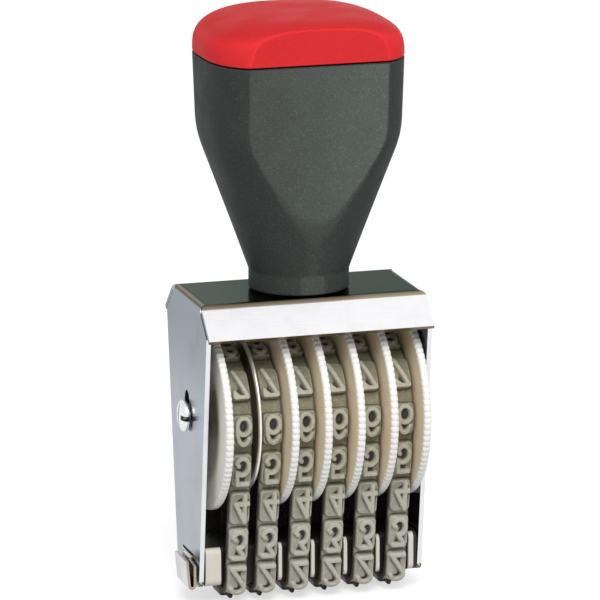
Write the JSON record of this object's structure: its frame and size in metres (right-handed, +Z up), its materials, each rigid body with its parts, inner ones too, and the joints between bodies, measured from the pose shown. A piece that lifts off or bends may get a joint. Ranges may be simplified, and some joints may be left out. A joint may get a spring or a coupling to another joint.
{
  "type": "number stamp",
  "caption": "Hand number stamp: rubber number bands turned by toothed thumb wheels on an axle, in a bent steel frame with a moulded handle.",
  "frame": {"origin": "on the printing plane (the faces of the bands' lowest pads), under the middle of the frame", "axes": "+Z up towards the handle, X along the wheels' axle with wheel 1 at -X, -Y the front that the user reads"},
  "size_m": [0.0448, 0.0332, 0.1028],
  "materials": {
    "nickel_plated_steel": "bright nickel plating, satin on the side plates",
    "zinc_plated_steel": "bright zinc plating",
    "plated_brass": "nickel-plated brass strip with bare warm edges",
    "white_nylon": "white moulded nylon, slightly cream",
    "olive_rubber": "matt grey-olive moulded rubber",
    "cream_plastic": "cream moulded plastic",
    "charcoal_plastic": "fine-grained matt moulded plastic",
    "red_plastic": "fine-grained matt moulded plastic"
  },
  "bodies": {
    "stamp": {"frame": "nickel_plated_steel", "axle": "zinc_plated_steel", "axle_screw_left": "zinc_plated_steel", "axle_screw_right": "zinc_plated_steel", "left_bush": "white_nylon", "divider_disc": "nickel_plated_steel", "number_band_1": "olive_rubber", "number_band_2": "olive_rubber", "number_band_3": "olive_rubber", "number_band_4": "olive_rubber", "number_band_5": "olive_rubber", "number_band_6": "olive_rubber", "print_foot": "cream_plastic", "band_guard": "charcoal_plastic", "foot_bar": "plated_brass", "handle_body": "charcoal_plastic", "handle_cap": "red_plastic", "handle_screw": "zinc_plated_steel", "handle_washer": "zinc_plated_steel"},
    "wheel_1": {"thumb_wheel_1": "white_nylon"},
    "wheel_2": {"thumb_wheel_2": "white_nylon"},
    "wheel_3": {"thumb_wheel_3": "white_nylon"},
    "wheel_4": {"thumb_wheel_4": "white_nylon"},
    "wheel_5": {"thumb_wheel_5": "white_nylon"},
    "wheel_6": {"thumb_wheel_6": "white_nylon"}
  },
  "joints": [
    {"name": "wheel_1_spin", "type": "hinge", "parent": "stamp", "child": "wheel_1", "pos_m": [-0.0135, 0, 0.0327], "axis": [1, 0, 0], "continuous": true},
    {"name": "wheel_2_spin", "type": "hinge", "parent": "stamp", "child": "wheel_2", "pos_m": [-0.0082, 0, 0.0327], "axis": [1, 0, 0], "continuous": true},
    {"name": "wheel_3_spin", "type": "hinge", "parent": "stamp", "child": "wheel_3", "pos_m": [-0.0023, 0, 0.0327], "axis": [1, 0, 0], "continuous": true},
    {"name": "wheel_4_spin", "type": "hinge", "parent": "stamp", "child": "wheel_4", "pos_m": [0.0036, 0, 0.0327], "axis": [1, 0, 0], "continuous": true},
    {"name": "wheel_5_spin", "type": "hinge", "parent": "stamp", "child": "wheel_5", "pos_m": [0.0095, 0, 0.0327], "axis": [1, 0, 0], "continuous": true},
    {"name": "wheel_6_spin", "type": "hinge", "parent": "stamp", "child": "wheel_6", "pos_m": [0.0154, 0, 0.0327], "axis": [1, 0, 0], "continuous": true}
  ]
}
